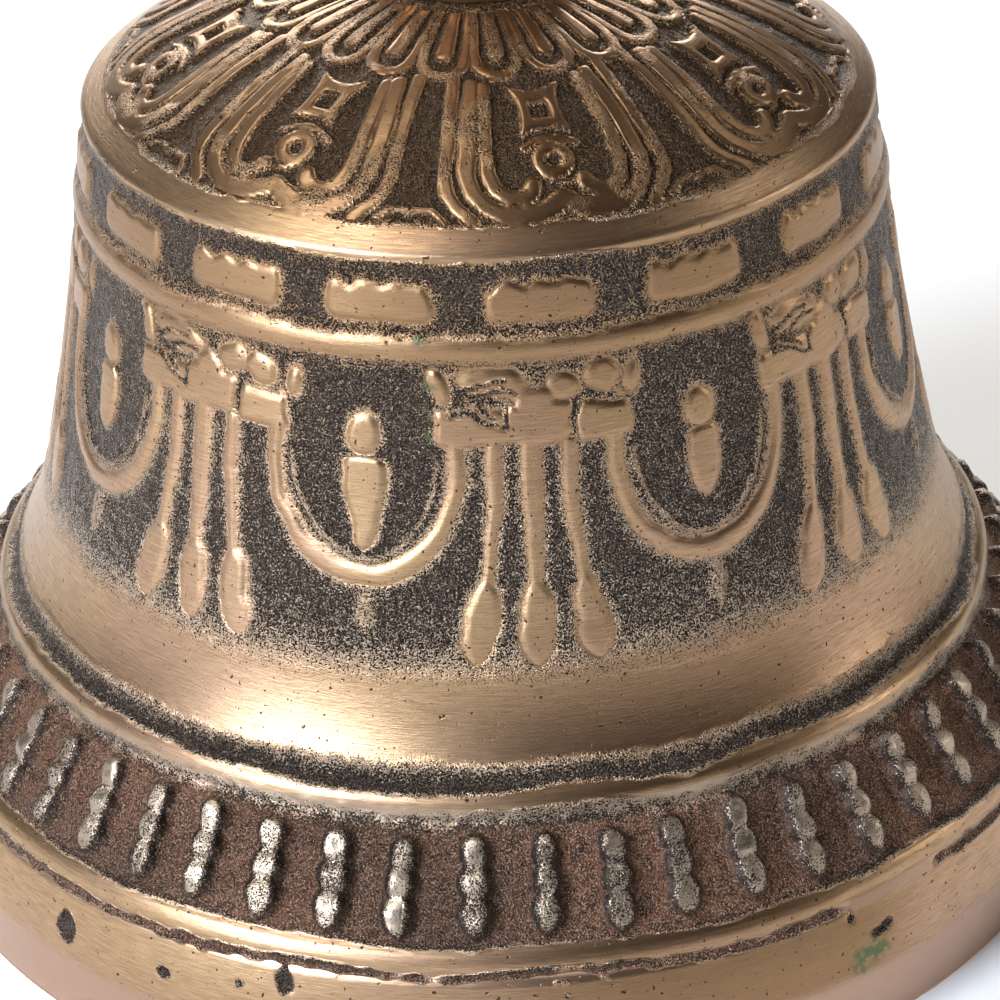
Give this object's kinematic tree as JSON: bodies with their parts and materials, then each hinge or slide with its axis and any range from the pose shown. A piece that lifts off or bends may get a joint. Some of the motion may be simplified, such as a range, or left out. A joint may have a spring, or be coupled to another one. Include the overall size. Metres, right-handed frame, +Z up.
{
  "type": "ritual hand bell",
  "caption": "Cast brass hand bell with petalled crown, garland relief, flared skirt, half-vajra handle and a clapper that swings inside.",
  "frame": {"origin": "centre of the lip's resting plane, on the bell's axis", "axes": "+Z up the bell's axis from the lip to the handle's point, -Y towards the viewer, +X to the viewer's right"},
  "size_m": [0.09, 0.09, 0.1763],
  "materials": {
    "bell_brass": "cast, high spots rubbed to a satin brass with fine circular brush lines, hollows full of dark brown grainy patina",
    "handle_brass": "cast, worn satin on the high spots, dark patina in the hollows",
    "ball_brass": "turned, polished where it strikes, dull elsewhere",
    "forged_iron": "hand forged, black oxide with light rust",
    "pin_steel": "cut wire, worn bright",
    "leather": "dark waxed hide",
    "pitch": "dark hardened resin pitch"
  },
  "bodies": {
    "bell": {"bell_body": "bell_brass", "seat_washer": "leather", "damper_washer": "leather", "iron_washer": "forged_iron", "square_nut": "forged_iron", "eye_rod": "forged_iron", "handle_foot": "handle_brass", "lower_pearl_ring": "handle_brass", "handle_vase": "handle_brass", "handle_fill": "pitch", "upper_pearl_ring": "handle_brass", "lotus_cup": "handle_brass", "vajra_hub": "handle_brass", "vajra_prongs": "handle_brass", "centre_prong": "handle_brass", "prong_cap": "handle_brass"},
    "link": {"hanger_link": "forged_iron", "link_pin": "pin_steel"},
    "clapper": {"clapper_shank": "forged_iron", "clapper_pin": "pin_steel", "clapper_ball": "ball_brass"}
  },
  "joints": [
    {"name": "link_swing", "type": "hinge", "parent": "bell", "child": "link", "pos_m": [0, 0, 0.051], "axis": [0, 1, 0], "range_deg": [-40, 40]},
    {"name": "clapper_swing", "type": "hinge", "parent": "link", "child": "clapper", "pos_m": [0, 0, 0.04], "axis": [1, 0, 0], "range_deg": [-20, 20]}
  ]
}
